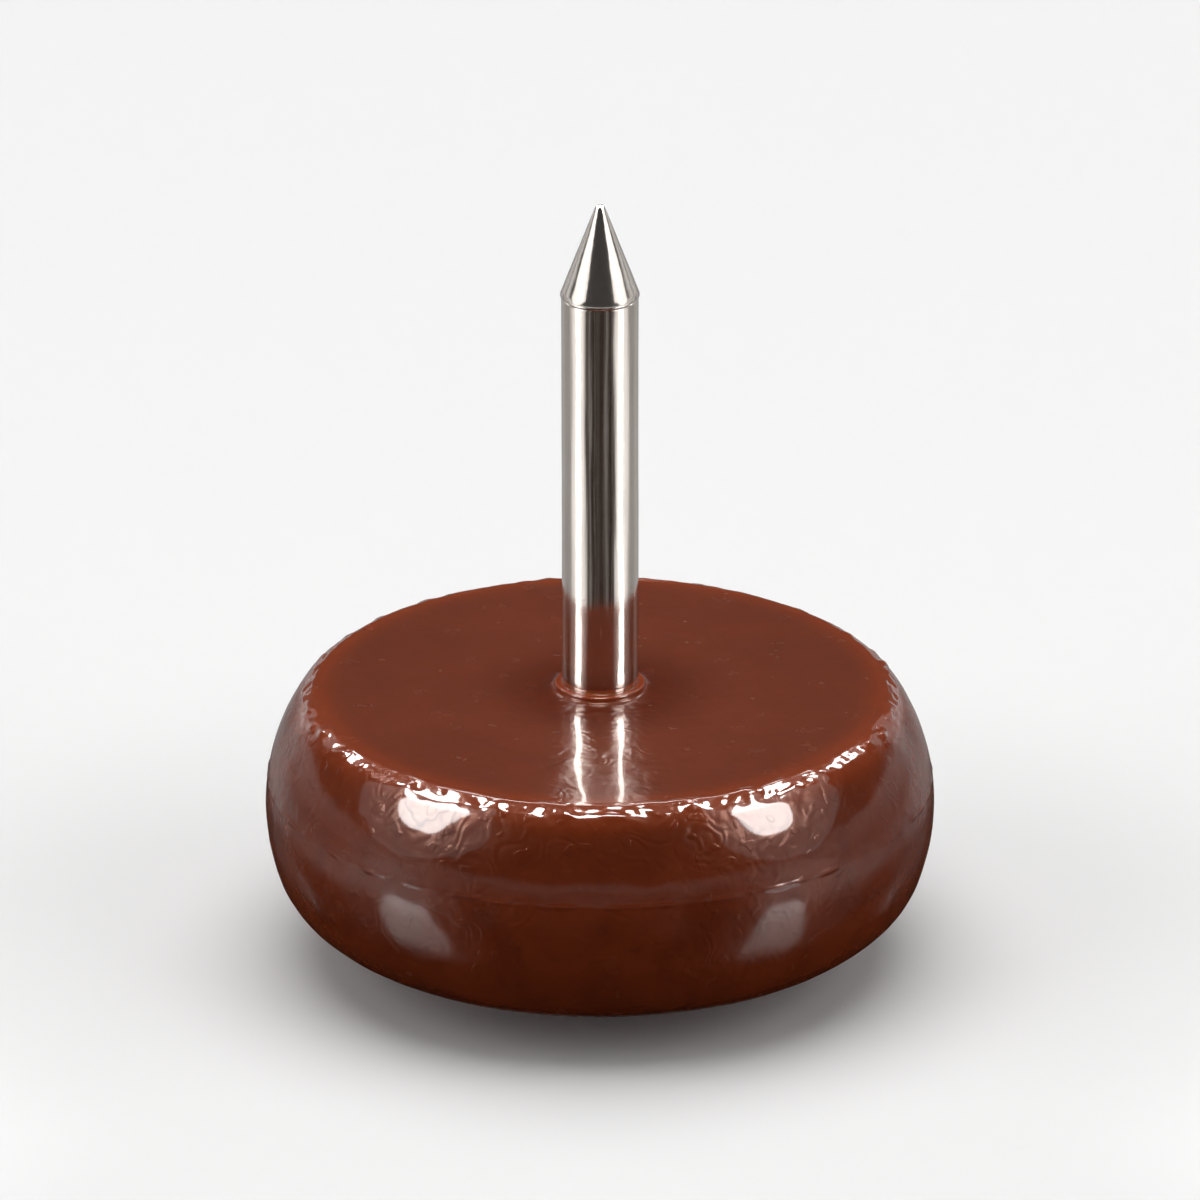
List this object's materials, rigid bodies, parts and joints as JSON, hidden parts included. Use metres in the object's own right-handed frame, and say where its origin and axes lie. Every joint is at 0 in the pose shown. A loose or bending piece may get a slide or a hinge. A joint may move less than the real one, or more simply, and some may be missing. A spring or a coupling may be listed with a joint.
{
  "type": "furniture glide",
  "caption": "Nail-on furniture glide: a domed plastic head with a flat bevelled back and a small collar, moulded round a straight steel nail with a conical point.",
  "frame": {"origin": "lowest point of the dome, where the glide stands on the floor", "axes": "+Z along the nail towards its point, up into the furniture; the glide is round about Z, so X and Y are free"},
  "size_m": [0.022, 0.022, 0.0261],
  "materials": {
    "head": "semi-gloss brown moulded plastic, slightly see-through at thin edges",
    "nail": "bright nickel-plated steel wire"
  },
  "bodies": {
    "root": {"glide_head": "head", "nail": "nail"}
  },
  "joints": []
}
